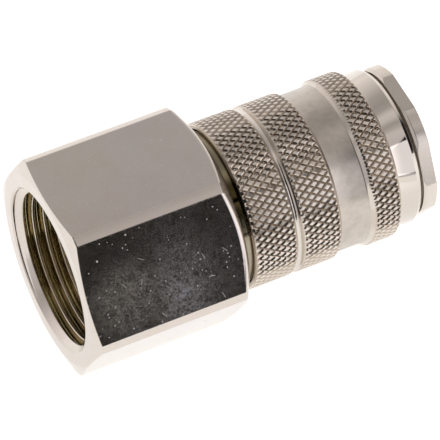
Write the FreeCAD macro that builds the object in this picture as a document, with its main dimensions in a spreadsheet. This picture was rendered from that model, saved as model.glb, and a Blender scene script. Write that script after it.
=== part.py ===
"""Pneumatic quick coupling: a socket with a ball lock, a sprung sleeve and a valve, on a pipe thread.

Every piece is modelled about its own X axis, from the thread's end face at zero to the mouth, and is
then placed so that the coupling lies on one flat of its hexagon, with the origin under its middle.
"""
import FreeCAD
import Part
import Sketcher
import os

doc = FreeCAD.newDocument("quick_coupling")
sheet = doc.addObject("Spreadsheet::Sheet", "Sizes")

# Driving sizes in millimetres, with what each one measures
SIZES = [
    # Hexagon adapter
    ("hex_flat_radius", 16.0, "axis to a flat of the big hexagon"),
    ("hex_corner_rise", 2.0, "turned corners stand this far outside the flats"),
    ("hex_length", 26.5, "length of the big hexagon"),
    ("face_drop", 2.4, "the end faces are this much smaller in radius than the corners"),
    ("thread_end_chamfer", 0.67, "length of the chamfer at the thread end"),
    ("neck_end_chamfer", 1.37, "length of the chamfer at the neck end"),
    ("shoulder_length", 0.6, "conical shoulder behind the big hexagon"),
    ("shoulder_drop", 1.05, "that shoulder narrows by this much in radius"),
    ("thread_radius", 12.06, "crests of the pipe thread"),
    ("thread_depth", 12.5, "depth of the thread bore"),
    ("countersink", 1.39, "width and depth of the countersink before the thread"),
    ("recess_radius", 8.0, "recess that holds the valve guide"),
    ("recess_depth", 4.5, "length of that recess"),
    ("passage_radius", 6.0, "air passage between the recess and the body"),
    ("passage_length", 6.0, "length of that passage"),
    ("neck_length", 5.0, "smooth neck under the sleeve's skirt"),
    # Ball lock
    ("ball_bore_radius", 7.6, "bore that the balls stand into"),
    ("ball_radius", 1.75, "locking ball"),
    ("ball_protrusion", 0.85, "a locked ball stands this far into the bore"),
    ("ball_clearance", 0.1, "play round a locked ball"),
    ("ball_lift", 0.9, "a released ball moves out by this much"),
    ("ball_count", 8, "balls round the bore"),
    ("ball_lip", 0.12, "a ball hole narrows by this much at the bore"),
    ("ball_lip_height", 0.5, "height of that lip"),
    ("cone_lead", 0.45, "the releasing cone starts this far behind a ball"),
    ("land_length", 2.55, "land of the sleeve that holds the balls in"),
    ("land_clearance", 0.15, "play between that land and the body"),
    ("slide_clearance", 0.1, "running play of the sleeve on the body and the neck"),
    # Sleeve
    ("sleeve_travel", 1.5, "the sleeve is pulled back by this much"),
    ("sleeve_stop_gap", 0.15, "room that is left behind a pulled sleeve"),
    ("skirt_gap", 1.0, "room that is left in front of the neck"),
    ("spring_channel", 1.73, "depth of the channel for the sleeve spring"),
    ("neck_step", 0.4, "the neck stands this far outside the channel"),
    ("plain_wall", 0.85, "wall of the plain band outside the channel"),
    ("knurl_rise", 0.67, "the knurled bands stand this far outside the plain band"),
    ("rear_chamfer", 0.4, "chamfer at the sleeve's rear edge"),
    ("band_one_length", 6.05, "knurled band at the rear"),
    ("groove_width", 1.95, "space for the round groove between two bands"),
    ("groove_section", 0.85, "radius of the round groove's section"),
    ("groove_sink", 0.15, "its centre lies this far under the knurl"),
    ("groove_chamfer", 0.12, "chamfer of the bands beside the groove"),
    ("band_two_length", 5.95, "knurled band in the middle"),
    ("band_chamfer", 0.6, "slope from the middle band down to the plain band"),
    ("plain_length", 4.95, "plain band"),
    ("shoulder_chamfer", 0.3, "chamfer of the front band's rear edge"),
    ("band_three_length", 4.35, "knurled band at the front"),
    ("front_shoulder", 0.8, "slope from the front band down to the smooth front"),
    ("front_wall", 1.4, "wall of the smooth front"),
    ("front_length", 2.75, "smooth front"),
    ("front_chamfer", 0.4, "the sleeve's front edge narrows by this much in radius"),
    ("front_chamfer_length", 0.75, "length of that chamfer"),
    ("bore_chamfer", 0.3, "chamfer of the sleeve's bores"),
    ("washer_thickness", 0.7, "washer that seats the sleeve spring"),
    ("sleeve_wire", 0.5, "radius of the sleeve spring's wire"),
    ("sleeve_turns", 6, "turns of the sleeve spring"),
    ("spring_gap", 0.05, "play at a spring's ends"),
    # Body
    ("ball_setback", 6.1, "balls behind the sleeve's front edge"),
    ("flange_gap", 1.05, "gap between the sleeve and the mouth flange"),
    ("flange_length", 1.85, "thickness of the mouth flange"),
    ("flange_step", 0.7, "flats of the flange outside the sleeve guide"),
    ("flange_corner_rise", 0.55, "turned corners of the flange outside its flats"),
    ("flange_chamfer", 0.12, "chamfer of the flange's corners"),
    ("flange_turn", 3, "turn of the flange against the big hexagon, in degrees"),
    ("guide_step", 1.4, "the mouth is this much wider in radius than the ball bore"),
    ("guide_depth", 4.5, "depth of the mouth"),
    ("guide_slope", 0.6, "length of the slope from the mouth to the ball bore"),
    ("entry_chamfer", 0.8, "chamfer of the mouth"),
    ("nose_depth", 5.0, "the ball bore goes this far behind the balls"),
    ("tip_radius", 6.0, "bore that seals the plug's tip"),
    ("tip_length", 5.2, "length of that bore"),
    ("seat_rise", 1.9, "height of the conical valve seat"),
    ("waist_step", 0.8, "the body is thinner by this much behind the sleeve's land"),
    ("waist_margin", 0.5, "room between the thin part and a pulled sleeve's land"),
    ("thread_play", 0.05, "play of the body in the adapter"),
    ("plug_seal_section", 1.0, "section radius of the plug seal"),
    ("plug_seal_bite", 0.35, "the plug seal stands this far into the bore"),
    ("plug_seal_place", 2.85, "plug seal in front of the valve seat"),
    ("plug_seal_side", 0.15, "play beside the plug seal"),
    ("body_seal_section", 0.45, "section radius of the body seal"),
    ("body_seal_setback", 2.4, "body seal behind the neck's end"),
    ("seal_gap", 0.05, "play round a seal in its groove"),
    # Valve
    ("valve_seal_section", 0.75, "section radius of the valve seal"),
    ("valve_seal_setback", 0.45, "valve seal behind the edge of its seat"),
    ("nose_gap", 0.4, "play of the poppet's nose in the tip bore"),
    ("nose_length", 1.6, "length of the poppet's nose"),
    ("nose_dish", 0.7, "depth of the dish in the nose"),
    ("nose_rim", 0.9, "width of the nose's rim"),
    ("head_gap", 0.8, "air gap round the poppet's head"),
    ("head_length", 2.6, "length of the poppet's head"),
    ("head_chamfer", 0.4, "chamfer of the poppet's head"),
    ("stem_radius", 2.0, "poppet's stem"),
    ("stem_clearance", 0.06, "running play of the stem"),
    ("stem_tail", 0.5, "the stem ends this far behind its guide"),
    ("guide_thickness", 1.5, "disc of the valve guide"),
    ("guide_play", 0.05, "play of that disc in its recess"),
    ("hub_wall", 1.24, "wall of the guide's hub"),
    ("hub_front", 2.0, "hub in front of the disc"),
    ("hub_rear", 0.6, "hub behind the disc"),
    ("air_hole_radius", 1.15, "air holes of the guide"),
    ("air_hole_place", 1.55, "centre of an air hole outside the hub"),
    ("air_hole_count", 6, "air holes round the guide"),
    ("snap_thickness", 1.0, "snap ring behind the guide"),
    ("snap_bite", 0.6, "depth of the snap ring's groove"),
    ("snap_width", 1.4, "width of the snap ring"),
    ("snap_opening", 3.0, "half of the snap ring's open gap"),
    ("valve_wire", 0.35, "radius of the valve spring's wire"),
    ("valve_coil_gap", 0.3, "play of the valve spring round the hub"),
    ("valve_turns", 7, "turns of the valve spring"),
]
for row, (alias, value, meaning) in enumerate(SIZES, start=1):
    sheet.set("A%d" % row, alias)
    sheet.set("B%d" % row, str(value))
    sheet.set("C%d" % row, meaning)
    sheet.setAlias("B%d" % row, alias)
doc.recompute()

# Sums of sizes are written as text, such as "hex_length + neck_length", and zero as an empty text
ZERO = ""


def amount(total):
    """Today's value of a sum of sizes."""
    value = 0.0
    sign = 1.0
    for word in total.split():
        if word in ("+", "-"):
            sign = 1.0 if word == "+" else -1.0
        else:
            value += sign * sheet.get(word)
    return value


def formula(total):
    """The same sum as an expression that reads the sheet."""
    words = [word if word in ("+", "-") else "Sizes." + word for word in total.split()]
    return " ".join(words) or "0"


# Places along the axis
NECK_END = "hex_length + neck_length"
GUIDE_SEAT = "thread_depth + recess_depth"
BODY_REAR = GUIDE_SEAT + " + passage_length"
SHOULDER_END = "hex_length + shoulder_length"
SLEEVE_REAR = SHOULDER_END + " + sleeve_travel + sleeve_stop_gap"
BAND_ONE = SLEEVE_REAR + " + rear_chamfer"
ROUND_GROOVE = BAND_ONE + " + band_one_length"
BAND_TWO = ROUND_GROOVE + " + groove_width"
BAND_TWO_END = BAND_TWO + " + band_two_length"
PLAIN = BAND_TWO_END + " + band_chamfer"
PLAIN_END = PLAIN + " + plain_length"
BAND_THREE = PLAIN_END + " + shoulder_chamfer"
BAND_THREE_END = BAND_THREE + " + band_three_length"
FRONT = BAND_THREE_END + " + front_shoulder"
FRONT_END = FRONT + " + front_length"
SLEEVE_FRONT = FRONT_END + " + front_chamfer_length"
FLANGE = SLEEVE_FRONT + " + flange_gap"
MOUTH = FLANGE + " + flange_length"
BALLS = SLEEVE_FRONT + " - ball_setback"
CONE = BALLS + " - cone_lead"
CONE_END = CONE + " + sleeve_travel"
SPRING_STOP = CONE + " - land_length"
WAIST_END = SPRING_STOP + " - sleeve_travel - waist_margin"
SKIRT_END = NECK_END + " + sleeve_travel + skirt_gap"
NOSE_END = BALLS + " - nose_depth"
SEAT = NOSE_END + " - tip_length"
PLUG_SEAL = SEAT + " + plug_seal_place"
BODY_SEAL = NECK_END + " - body_seal_setback"
VALVE_SEAL = SEAT + " - valve_seal_section - valve_seal_setback"
HEAD = VALVE_SEAL + " - valve_seal_section - seal_gap"
HEAD_REAR = HEAD + " - head_length"
NOSE = VALVE_SEAL + " + valve_seal_section + seal_gap"
NOSE_FACE = NOSE + " + nose_length"
GUIDE_REAR = GUIDE_SEAT + " - guide_thickness"
HUB_REAR = GUIDE_REAR + " - hub_rear"
SNAP_FRONT = GUIDE_REAR + " - guide_play"
SNAP_REAR = SNAP_FRONT + " - snap_thickness"

# Radii
HEX_CORNER = "hex_flat_radius + hex_corner_rise"
HEX_FACE = HEX_CORNER + " - face_drop"
BALL_CIRCLE = "ball_bore_radius + ball_radius - ball_protrusion"
LAND = BALL_CIRCLE + " + ball_radius + ball_clearance"
RELEASE = LAND + " + ball_lift"
BODY = LAND + " - land_clearance"
WAIST = BODY + " - waist_step"
COLLAR = RELEASE + " - slide_clearance"
CHANNEL = LAND + " + spring_channel"
NECK = CHANNEL + " + neck_step"
SKIRT = NECK + " + slide_clearance"
PLAIN_BAND = CHANNEL + " + plain_wall"
KNURL = PLAIN_BAND + " + knurl_rise"
FRONT_BAND = RELEASE + " + front_wall"
FLANGE_FLAT = COLLAR + " + flange_step"
FLANGE_CORNER = FLANGE_FLAT + " + flange_corner_rise"
GUIDE_BORE = "ball_bore_radius + guide_step"
CHAMBER = "tip_radius + seat_rise"
SOCKET = WAIST + " + thread_play"
PLUG_SEAL_CIRCLE = "tip_radius + plug_seal_section - plug_seal_bite"
PLUG_GROOVE = PLUG_SEAL_CIRCLE + " + plug_seal_section + seal_gap"
BODY_SEAL_CIRCLE = WAIST + " - body_seal_section"
BODY_GROOVE = BODY_SEAL_CIRCLE + " - body_seal_section - seal_gap"
HEAD_RADIUS = CHAMBER + " - head_gap"
VALVE_GROOVE = "tip_radius - valve_seal_section - seal_gap"
NOSE_RADIUS = "tip_radius - nose_gap"
STEM_BORE = "stem_radius + stem_clearance"
HUB = STEM_BORE + " + hub_wall"
SNAP_GROOVE = "recess_radius + snap_bite"
SNAP_OUTSIDE = SNAP_GROOVE + " - guide_play"
SNAP_INSIDE = SNAP_OUTSIDE + " - snap_width"
SLEEVE_COIL = CHANNEL + " - land_clearance - sleeve_wire"
VALVE_COIL = HUB + " + valve_coil_gap + valve_wire"

# Sketch references: the origin's point, and its two axes
ORIGIN = -1
HORIZONTAL = -1
VERTICAL = -2
START_POINT, END_POINT, CENTRE_POINT = range(1, 4)
FULL_TURN = 360

pieces = []


def place(piece, name, along=ZERO):
    """Lays a piece on the hexagon's flat, with the coupling's middle over the origin."""
    piece.Label = name
    middle = "(%s) / 2" % formula(MOUTH)
    piece.setExpression("Placement.Base.x", "%s - %s" % (formula(along), middle))
    piece.setExpression("Placement.Base.z", "Sizes.hex_flat_radius")
    pieces.append(piece)


def new_body(name):
    body = doc.addObject("PartDesign::Body", name)
    place(body, name)
    return body


def origin_feature(body, role):
    return next(feature for feature in body.Origin.OriginFeatures if feature.Role == role)


def new_sketch(body, name, role):
    sketch = body.newObject("Sketcher::SketchObject", name)
    sketch.AttachmentSupport = (origin_feature(body, role), [""])
    sketch.MapMode = "FlatFace"
    return sketch


def pin(sketch, shape, point, across, up):
    """Ties a sketch point to the origin by two sums of sizes, or to an axis where a sum is zero."""
    for kind, axis, total in (("DistanceX", VERTICAL, across), ("DistanceY", HORIZONTAL, up)):
        if total == ZERO:
            sketch.addConstraint(Sketcher.Constraint("PointOnObject", shape, point, axis))
        else:
            index = sketch.addConstraint(
                Sketcher.Constraint(kind, ORIGIN, START_POINT, shape, point, amount(total)))
            sketch.setExpression("Constraints[%d]" % index, formula(total))


def outline(body, name, points):
    """Closed sketch in the plane of the axis, through points of (place along it, radius)."""
    sketch = new_sketch(body, name, "XZ_Plane")
    corners = [FreeCAD.Vector(amount(along), amount(radius), 0) for along, radius in points]
    for start, end in zip(corners, corners[1:] + corners[:1]):
        sketch.addGeometry(Part.LineSegment(start, end))
    for side, (along, radius) in enumerate(points):
        following = (side + 1) % len(points)
        sketch.addConstraint(
            Sketcher.Constraint("Coincident", side, END_POINT, following, START_POINT))
        pin(sketch, side, START_POINT, along, radius)
    return sketch


def circle(body, name, along, height, radius, role="XZ_Plane"):
    """Sketch of one circle."""
    sketch = new_sketch(body, name, role)
    centre = FreeCAD.Vector(amount(along), amount(height), 0)
    ring = sketch.addGeometry(Part.Circle(centre, FreeCAD.Vector(0, 0, 1), amount(radius)))
    pin(sketch, ring, CENTRE_POINT, along, height)
    index = sketch.addConstraint(Sketcher.Constraint("Radius", ring, amount(radius)))
    sketch.setExpression("Constraints[%d]" % index, formula(radius))
    return sketch


def spin(body, kind, name, sketch, axis="H_Axis"):
    """Turns a sketch about an axis of its own, as new material or as a cut that has to take some away."""
    before = body.Shape.Volume if kind == "PartDesign::Groove" else 0.0
    feature = body.newObject(kind, name)
    feature.Profile = sketch
    feature.ReferenceAxis = (sketch, [axis])
    feature.Angle = FULL_TURN
    doc.recompute()
    if kind == "PartDesign::Groove" and body.Shape.Volume >= before:
        raise RuntimeError(name + " cuts nothing")
    return feature


def turn(body, name, points):
    return spin(body, "PartDesign::Revolution", name, outline(body, name + "Outline", points))


def cut(body, name, points):
    return spin(body, "PartDesign::Groove", name, outline(body, name + "Outline", points))


def pattern(body, name, feature, count):
    """Repeats a feature evenly round the coupling's axis."""
    copies = body.newObject("PartDesign::PolarPattern", name)
    copies.Originals = [feature]
    copies.Axis = (origin_feature(body, "X_Axis"), [""])
    copies.Angle = FULL_TURN
    copies.setExpression("Occurrences", "Sizes." + count)
    body.Tip = copies
    doc.recompute()


def hexagon(body, name, along, length, flat, angle):
    """Pads a hexagon whose flats lie at the given distance from the axis."""
    sketch = new_sketch(body, name + "Outline", "YZ_Plane")
    sketch.setExpression("AttachmentOffset.Base.z", formula(along))
    sketch.AttachmentOffset = FreeCAD.Placement(
        sketch.AttachmentOffset.Base, FreeCAD.Rotation(FreeCAD.Vector(0, 0, 1), 1))
    sketch.setExpression("AttachmentOffset.Rotation.Angle", formula(angle))
    corner = FreeCAD.Vector(amount(flat), 0, 0)
    sides = 6
    sixth = FULL_TURN / sides
    corners = [FreeCAD.Rotation(FreeCAD.Vector(0, 0, 1), sixth * side).multVec(corner) for side in range(sides)]
    for start, end in zip(corners, corners[1:] + corners[:1]):
        sketch.addGeometry(Part.LineSegment(start, end))
    guide = sketch.addGeometry(Part.Circle(FreeCAD.Vector(), FreeCAD.Vector(0, 0, 1), amount(flat)), True)
    sketch.addConstraint(Sketcher.Constraint("Coincident", guide, CENTRE_POINT, ORIGIN, START_POINT))
    for side in range(sides):
        sketch.addConstraint(
            Sketcher.Constraint("Coincident", side, END_POINT, (side + 1) % sides, START_POINT))
        sketch.addConstraint(Sketcher.Constraint("PointOnObject", side, START_POINT, guide))
    for side in range(1, sides):
        sketch.addConstraint(Sketcher.Constraint("Equal", 0, side))
    sketch.addConstraint(Sketcher.Constraint("PointOnObject", 0, START_POINT, HORIZONTAL))
    index = sketch.addConstraint(Sketcher.Constraint("Radius", guide, amount(flat)))
    sketch.setExpression("Constraints[%d]" % index, "2 / sqrt(3) * (%s)" % formula(flat))
    pad = body.newObject("PartDesign::Pad", name)
    pad.Profile = sketch
    pad.setExpression("Length", formula(length))
    doc.recompute()


def coil(body, name, start, end, circle_radius, wire, turns):
    """Winds a round wire about the axis, so that it fills the space between two places."""
    first = start + " + spring_gap + " + wire
    sketch = circle(body, name + "Wire", first, circle_radius, wire)
    helix = body.newObject("PartDesign::AdditiveHelix", name)
    helix.Profile = sketch
    helix.ReferenceAxis = (sketch, ["H_Axis"])
    helix.Mode = "height-turns-angle"
    helix.Angle = 0
    room = "(%s) - (%s) - Sizes.%s - Sizes.spring_gap" % (formula(end), formula(first), wire)
    helix.setExpression("Height", room)
    helix.setExpression("Turns", "Sizes." + turns)
    doc.recompute()


def seal(name, along, circle_radius, section):
    """O-ring about the axis."""
    ring = doc.addObject("Part::Torus", name)
    ring.setExpression("Radius1", formula(circle_radius))
    ring.setExpression("Radius2", "Sizes." + section)
    ring.Placement = FreeCAD.Placement(FreeCAD.Vector(), FreeCAD.Rotation(FreeCAD.Vector(0, 1, 0), 90))
    place(ring, name, along)


# Threaded adapter: a hexagon with turned corners, a pipe thread at one end and a neck at the other
adapter = new_body("threaded_body")
hexagon(adapter, "Hexagon", ZERO, "hex_length", "hex_flat_radius", ZERO)
OUTSIDE = "hex_flat_radius + hex_flat_radius"
cut(adapter, "TurnedCorners", [
    (ZERO, HEX_FACE),
    ("thread_end_chamfer", HEX_CORNER),
    ("hex_length - neck_end_chamfer", HEX_CORNER),
    ("hex_length", HEX_FACE),
    ("hex_length", OUTSIDE),
    (ZERO, OUTSIDE),
])
turn(adapter, "Neck", [
    ("hex_length - neck_end_chamfer", ZERO),
    ("hex_length - neck_end_chamfer", HEX_FACE),
    ("hex_length", HEX_FACE),
    (SHOULDER_END, HEX_FACE + " - shoulder_drop"),
    (SHOULDER_END, NECK),
    (NECK_END + " - bore_chamfer", NECK),
    (NECK_END, NECK + " - bore_chamfer"),
    (NECK_END, ZERO),
])
cut(adapter, "Bores", [
    (ZERO, ZERO),
    (ZERO, "thread_radius + countersink"),
    ("countersink", "thread_radius"),
    ("thread_depth", "thread_radius"),
    ("thread_depth", "recess_radius"),
    (SNAP_REAR + " - guide_play", "recess_radius"),
    (SNAP_REAR + " - guide_play", SNAP_GROOVE),
    (GUIDE_REAR, SNAP_GROOVE),
    (GUIDE_REAR, "recess_radius"),
    (GUIDE_SEAT, "recess_radius"),
    (GUIDE_SEAT, "passage_radius"),
    (BODY_REAR, "passage_radius"),
    (BODY_REAR, SOCKET),
    (NECK_END, SOCKET),
    (NECK_END, ZERO),
])

# Coupling body: a tube with the mouth, the ball holes, the seal's groove and the valve seat
tube = new_body("coupling_body")
turn(tube, "Tube", [
    (BODY_REAR, "tip_radius"),
    (BODY_REAR, WAIST + " - bore_chamfer"),
    (BODY_REAR + " + bore_chamfer", WAIST),
    (WAIST_END + " - waist_step", WAIST),
    (WAIST_END, BODY),
    (CONE_END, BODY),
    (CONE_END, COLLAR),
    (MOUTH, COLLAR),
    (MOUTH, "tip_radius"),
])
hexagon(tube, "Flange", FLANGE, "flange_length", FLANGE_FLAT, "flange_turn")
FLANGE_OUTSIDE = FLANGE_FLAT + " + " + COLLAR
cut(tube, "FlangeCorners", [
    (FLANGE, FLANGE_CORNER + " - flange_chamfer"),
    (FLANGE + " + flange_chamfer", FLANGE_CORNER),
    (MOUTH + " - flange_chamfer", FLANGE_CORNER),
    (MOUTH, FLANGE_CORNER + " - flange_chamfer"),
    (MOUTH, FLANGE_OUTSIDE),
    (FLANGE, FLANGE_OUTSIDE),
])
cut(tube, "Bores", [
    (BODY_REAR, ZERO),
    (BODY_REAR, CHAMBER),
    (SEAT + " - seat_rise", CHAMBER),
    (SEAT, "tip_radius"),
    (NOSE_END, "tip_radius"),
    (NOSE_END, "ball_bore_radius"),
    (MOUTH + " - guide_depth - guide_slope", "ball_bore_radius"),
    (MOUTH + " - guide_depth", GUIDE_BORE),
    (MOUTH + " - entry_chamfer", GUIDE_BORE),
    (MOUTH, GUIDE_BORE + " + entry_chamfer"),
    (MOUTH, ZERO),
])
cut(tube, "PlugSealGroove", [
    (PLUG_SEAL + " - plug_seal_section - plug_seal_side", "tip_radius - seal_gap"),
    (PLUG_SEAL + " - plug_seal_section - plug_seal_side", PLUG_GROOVE),
    (PLUG_SEAL + " + plug_seal_section + plug_seal_side", PLUG_GROOVE),
    (PLUG_SEAL + " + plug_seal_section + plug_seal_side", "tip_radius - seal_gap"),
])
cut(tube, "BodySealGroove", [
    (BODY_SEAL + " - body_seal_section - seal_gap", BODY_GROOVE),
    (BODY_SEAL + " - body_seal_section - seal_gap", SOCKET),
    (BODY_SEAL + " + body_seal_section + seal_gap", SOCKET),
    (BODY_SEAL + " + body_seal_section + seal_gap", BODY_GROOVE),
])

# One ball hole is turned about a radial line, with a lip that keeps the ball from falling in
HOLE_EDGE = BALLS + " + ball_radius + ball_clearance"
hole = outline(tube, "BallHoleOutline", [
    (BALLS, "ball_bore_radius - ball_protrusion"),
    (HOLE_EDGE + " - ball_lip - ball_lip", "ball_bore_radius - ball_protrusion"),
    (HOLE_EDGE + " - ball_lip - ball_lip", "ball_bore_radius"),
    (HOLE_EDGE, "ball_bore_radius + ball_lip_height"),
    (HOLE_EDGE, COLLAR),
    (BALLS, COLLAR),
])
hole_axis = hole.addGeometry(Part.LineSegment(
    FreeCAD.Vector(amount(BALLS), 0, 0), FreeCAD.Vector(amount(BALLS), amount(COLLAR), 0)), True)
pin(hole, hole_axis, START_POINT, BALLS, ZERO)
pin(hole, hole_axis, END_POINT, BALLS, COLLAR)
ball_hole = spin(tube, "PartDesign::Groove", "BallHole", hole, "Axis0")
pattern(tube, "BallHoles", ball_hole, "ball_count")

# Locking sleeve: three bands for the fingers outside, a land and a releasing cone for the balls inside
sleeve = new_body("locking_sleeve")
BAND_EDGE = KNURL + " - groove_chamfer"
turn(sleeve, "Shell", [
    (SLEEVE_REAR, SKIRT + " + bore_chamfer"),
    (SLEEVE_REAR, KNURL + " - rear_chamfer"),
    (BAND_ONE, KNURL),
    (ROUND_GROOVE + " - groove_chamfer", KNURL),
    (ROUND_GROOVE, BAND_EDGE),
    (BAND_TWO, BAND_EDGE),
    (BAND_TWO + " + groove_chamfer", KNURL),
    (BAND_TWO_END, KNURL),
    (PLAIN, PLAIN_BAND),
    (PLAIN_END, PLAIN_BAND),
    (PLAIN_END, KNURL + " - shoulder_chamfer"),
    (BAND_THREE, KNURL),
    (BAND_THREE_END, KNURL),
    (FRONT, FRONT_BAND),
    (FRONT_END, FRONT_BAND),
    (SLEEVE_FRONT, FRONT_BAND + " - front_chamfer"),
    (SLEEVE_FRONT, RELEASE + " + bore_chamfer"),
    (SLEEVE_FRONT + " - bore_chamfer", RELEASE),
    (CONE_END, RELEASE),
    (CONE, LAND),
    (SPRING_STOP, LAND),
    (SPRING_STOP, CHANNEL),
    (SKIRT_END, CHANNEL),
    (SKIRT_END, SKIRT),
    (SLEEVE_REAR + " + bore_chamfer", SKIRT),
])
groove = circle(sleeve, "RoundGrooveOutline", ROUND_GROOVE + " + groove_section + groove_chamfer",
                KNURL + " - groove_sink", "groove_section")
spin(sleeve, "PartDesign::Groove", "RoundGroove", groove)

# Sleeve spring and the washer that it stands on
washer = new_body("spring_seat_washer")
turn(washer, "Ring", [
    (NECK_END, WAIST + " + land_clearance"),
    (NECK_END, CHANNEL + " - land_clearance"),
    (NECK_END + " + washer_thickness", CHANNEL + " - land_clearance"),
    (NECK_END + " + washer_thickness", WAIST + " + land_clearance"),
])
sleeve_spring = new_body("sleeve_spring")
coil(sleeve_spring, "Coil", NECK_END + " + washer_thickness", SPRING_STOP, SLEEVE_COIL, "sleeve_wire",
     "sleeve_turns")

# Locking balls, evenly round the bore
for number in range(int(sheet.get("ball_count"))):
    ball = doc.addObject("Part::Sphere", "locking_ball_%d" % (number + 1))
    ball.setExpression("Radius", "Sizes.ball_radius")
    place(ball, "locking_ball_%d" % (number + 1), BALLS)
    angle = "%d deg * %d / Sizes.ball_count" % (FULL_TURN, number)
    ball.setExpression("Placement.Base.y", "(%s) * sin(%s)" % (formula(BALL_CIRCLE), angle))
    ball.setExpression(
        "Placement.Base.z", "Sizes.hex_flat_radius + (%s) * cos(%s)" % (formula(BALL_CIRCLE), angle))

# Valve poppet: a nose that the plug pushes, a groove for the seal, a head and a guided stem
poppet = new_body("valve_poppet")
turn(poppet, "Poppet", [
    (HUB_REAR + " - stem_tail", ZERO),
    (HUB_REAR + " - stem_tail", "stem_radius"),
    (HEAD_REAR, "stem_radius"),
    (HEAD_REAR, HEAD_RADIUS),
    (HEAD + " - head_chamfer", HEAD_RADIUS),
    (HEAD, HEAD_RADIUS + " - head_chamfer"),
    (HEAD, VALVE_GROOVE),
    (NOSE, VALVE_GROOVE),
    (NOSE, NOSE_RADIUS),
    (NOSE_FACE + " - head_chamfer", NOSE_RADIUS),
    (NOSE_FACE, NOSE_RADIUS + " - head_chamfer"),
    (NOSE_FACE, NOSE_RADIUS + " - nose_rim"),
    (NOSE_FACE + " - nose_dish", NOSE_RADIUS + " - nose_rim - nose_dish"),
    (NOSE_FACE + " - nose_dish", ZERO),
])

# Valve guide: a perforated disc with a hub for the stem, held by a snap ring behind it
guide = new_body("valve_guide")
turn(guide, "Disc", [
    (GUIDE_REAR, STEM_BORE),
    (HUB_REAR, STEM_BORE),
    (HUB_REAR, HUB),
    (GUIDE_REAR, HUB),
    (GUIDE_REAR, "recess_radius - guide_play"),
    (GUIDE_SEAT, "recess_radius - guide_play"),
    (GUIDE_SEAT, HUB),
    (GUIDE_SEAT + " + hub_front", HUB),
    (GUIDE_SEAT + " + hub_front", STEM_BORE),
])
air_outline = circle(guide, "AirHoleOutline", ZERO, HUB + " + air_hole_place", "air_hole_radius", "YZ_Plane")
air_hole = guide.newObject("PartDesign::Pocket", "AirHole")
air_hole.Profile = air_outline
air_hole.Type = "ThroughAll"
air_hole.Midplane = True
doc.recompute()
pattern(guide, "AirHoles", air_hole, "air_hole_count")

snap = new_body("guide_snap_ring")
turn(snap, "Ring", [
    (SNAP_REAR, SNAP_INSIDE),
    (SNAP_REAR, SNAP_OUTSIDE),
    (SNAP_FRONT, SNAP_OUTSIDE),
    (SNAP_FRONT, SNAP_INSIDE),
])
opening = circle(snap, "OpeningOutline", ZERO, SNAP_INSIDE, "snap_opening", "YZ_Plane")
gap = snap.newObject("PartDesign::Pocket", "Opening")
gap.Profile = opening
gap.Type = "ThroughAll"
gap.Midplane = True
doc.recompute()

valve_spring = new_body("valve_spring")
coil(valve_spring, "Coil", GUIDE_SEAT, HEAD_REAR, VALVE_COIL, "valve_wire", "valve_turns")

# Seals
seal("valve_seal", VALVE_SEAL, "tip_radius", "valve_seal_section")
seal("plug_seal", PLUG_SEAL, PLUG_SEAL_CIRCLE, "plug_seal_section")
seal("body_seal", BODY_SEAL, BODY_SEAL_CIRCLE, "body_seal_section")

doc.recompute()
for item in doc.Objects:
    if "Invalid" in item.State or "Error" in item.State:
        raise RuntimeError("%s failed: %s" % (item.Label, item.State))
os.makedirs("parts", exist_ok=True)
for piece in pieces:
    shape = piece.Shape
    if shape.isNull() or not shape.isValid() or len(shape.Solids) != 1:
        raise RuntimeError("%s is not one sound solid" % piece.Label)
for piece in pieces:
    piece.Shape.exportStep("parts/%s.step" % piece.Label)
    print("%-20s %9.1f mm3" % (piece.Label, piece.Shape.Volume))
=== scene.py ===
"""Looks of a pneumatic quick coupling: every section makes one piece, in the order of assembly."""
import math

import bpy
import numpy as np
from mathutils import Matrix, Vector


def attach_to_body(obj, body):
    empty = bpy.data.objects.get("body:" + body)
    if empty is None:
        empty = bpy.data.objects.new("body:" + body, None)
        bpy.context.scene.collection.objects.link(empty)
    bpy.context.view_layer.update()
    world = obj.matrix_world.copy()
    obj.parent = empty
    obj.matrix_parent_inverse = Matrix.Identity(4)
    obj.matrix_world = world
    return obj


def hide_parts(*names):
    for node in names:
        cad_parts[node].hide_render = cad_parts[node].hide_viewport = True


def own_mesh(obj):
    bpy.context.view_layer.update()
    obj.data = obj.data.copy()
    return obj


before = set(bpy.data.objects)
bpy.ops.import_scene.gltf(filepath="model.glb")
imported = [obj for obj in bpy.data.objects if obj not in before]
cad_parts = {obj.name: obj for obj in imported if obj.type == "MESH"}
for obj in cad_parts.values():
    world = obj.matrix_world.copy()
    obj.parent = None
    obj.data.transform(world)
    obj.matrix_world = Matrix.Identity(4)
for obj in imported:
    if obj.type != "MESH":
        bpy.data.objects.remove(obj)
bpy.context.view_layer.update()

# Threaded adapter: turned from hexagonal brass bar and nickel plated. One end is bored and tapped for
# a pipe, the other is a smooth neck that carries the body and runs under the sleeve's skirt.
# Places are in millimetres from the thread's end face, and radii are from the coupling's axis.
MILLIMETRE = 0.001
MIDDLE = 30.25
AXIS_HEIGHT = 16.0
SIXTH = math.pi / 3
FULL_TURN = 2 * math.pi

HEX_FLAT = 16.0
HEX_CORNER = 18.0
HEX_FACE = 15.6
HEX_LENGTH = 26.5
THREAD_END_CHAMFER = 0.67
NECK_END_CHAMFER = 1.37
SHOULDER_END = 27.1
SHOULDER = 14.55
NECK = 12.48
NECK_END = 31.5
SOCKET = 9.45
BODY_REAR = 23.0
PASSAGE = 6.0
GUIDE_SEAT = 17.0
RECESS = 8.0
SNAP_GROOVE = 8.6
SNAP_GROOVE_START = 14.4
SNAP_GROOVE_END = 15.5
THREAD_DEPTH = 12.5
THREAD_CREST = 12.06
THREAD_ROOT = 13.22
THREAD_PITCH = 1.814
COUNTERSINK = 13.45
COUNTERSINK_LIP = 0.2
NECK_BREAK = 0.3

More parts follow.
